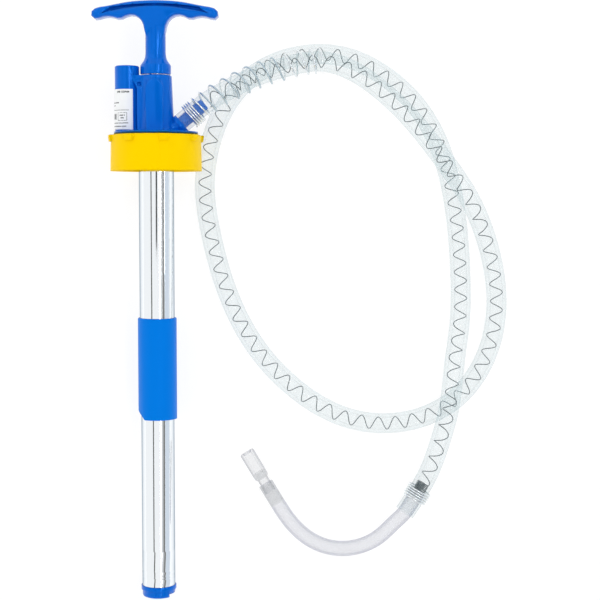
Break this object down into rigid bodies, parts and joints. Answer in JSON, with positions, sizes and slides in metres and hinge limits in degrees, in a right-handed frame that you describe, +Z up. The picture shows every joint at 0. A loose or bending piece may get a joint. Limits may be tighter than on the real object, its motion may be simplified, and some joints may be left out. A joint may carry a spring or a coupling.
{
  "type": "hand drum pump",
  "caption": "Hand-operated piston drum pump with a T-handle, screw cap for a drum neck, chromed telescopic suction tube and a long clear hose with a bent nozzle.",
  "frame": {"origin": "centre of the pump's outline on the surface it lies on, measured without the hose", "axes": "+Y from the foot to the T-handle, +X towards the hose, +Z up from the surface"},
  "size_m": [0.3872, 0.5559, 0.0882],
  "materials": {
    "blue_plastic": "glossy moulded plastic",
    "yellow_plastic": "satin moulded plastic",
    "chromed_tube": "chrome plated",
    "spring_wire": "drawn wire",
    "zinc_steel": "zinc plated",
    "clear_pvc": "clear flexible",
    "black_rubber": "matt",
    "white_acetal": "satin",
    "paper_label": "printed label"
  },
  "bodies": {
    "pump_body": {"pump_head": "blue_plastic", "side_label": "paper_label", "rod_guide_bush": "white_acetal", "gland_seal": "black_rubber", "gland_retainer": "zinc_steel", "barrel_tube": "chromed_tube", "barrel_seal": "black_rubber", "cap_retaining_ring": "zinc_steel", "tube_sleeve": "blue_plastic", "sleeve_seal": "black_rubber", "hose_cuff_spout": "clear_pvc", "hose": "clear_pvc", "hose_cuff_nozzle": "clear_pvc", "kink_guard_spring": "spring_wire", "nozzle_clamp_spring": "spring_wire", "nozzle_tube": "clear_pvc", "nozzle_tip": "clear_pvc"},
    "drum_cap_body": {"drum_cap": "yellow_plastic", "drum_gasket": "black_rubber"},
    "suction_tube_body": {"suction_tube": "chromed_tube", "foot_valve_body": "blue_plastic", "foot_seal": "black_rubber", "foot_stop_pin": "zinc_steel"},
    "foot_valve": {"foot_valve_ball": "white_acetal"},
    "piston_seal": {"piston_cup_seal": "black_rubber"},
    "rod_and_handle": {"piston_rod": "chromed_tube", "piston_body": "white_acetal", "piston_nut": "zinc_steel", "valve_stop_washer": "zinc_steel", "rod_bumper": "black_rubber", "t_handle": "blue_plastic", "handle_pin": "zinc_steel"},
    "piston_valve": {"piston_valve_disc": "black_rubber"}
  },
  "joints": [
    {"name": "rod_slide", "type": "slide", "parent": "pump_body", "child": "piston_seal", "axis": [0, 0.9978, 0.0656], "range_m": [0, 0.11]},
    {"name": "handle_turn", "type": "hinge", "parent": "piston_seal", "child": "rod_and_handle", "pos_m": [0, 0.01385, 0.03513], "axis": [0, 0.9978, 0.0656], "continuous": true},
    {"name": "cap_turn", "type": "hinge", "parent": "pump_body", "child": "drum_cap_body", "pos_m": [0, 0.14856, 0.04398], "axis": [0, 0.9978, 0.0656], "continuous": true},
    {"name": "suction_tube_slide", "type": "slide", "parent": "pump_body", "child": "suction_tube_body", "axis": [0, 0.9978, 0.0656], "range_m": [-0.03, 0.035]},
    {"name": "foot_valve_lift", "type": "slide", "parent": "suction_tube_body", "child": "foot_valve", "axis": [0, 0.9978, 0.0656], "range_m": [0, 0.0035]},
    {"name": "piston_valve_lift", "type": "slide", "parent": "rod_and_handle", "child": "piston_valve", "axis": [0, 0.9978, 0.0656], "range_m": [0, 0.003]}
  ]
}
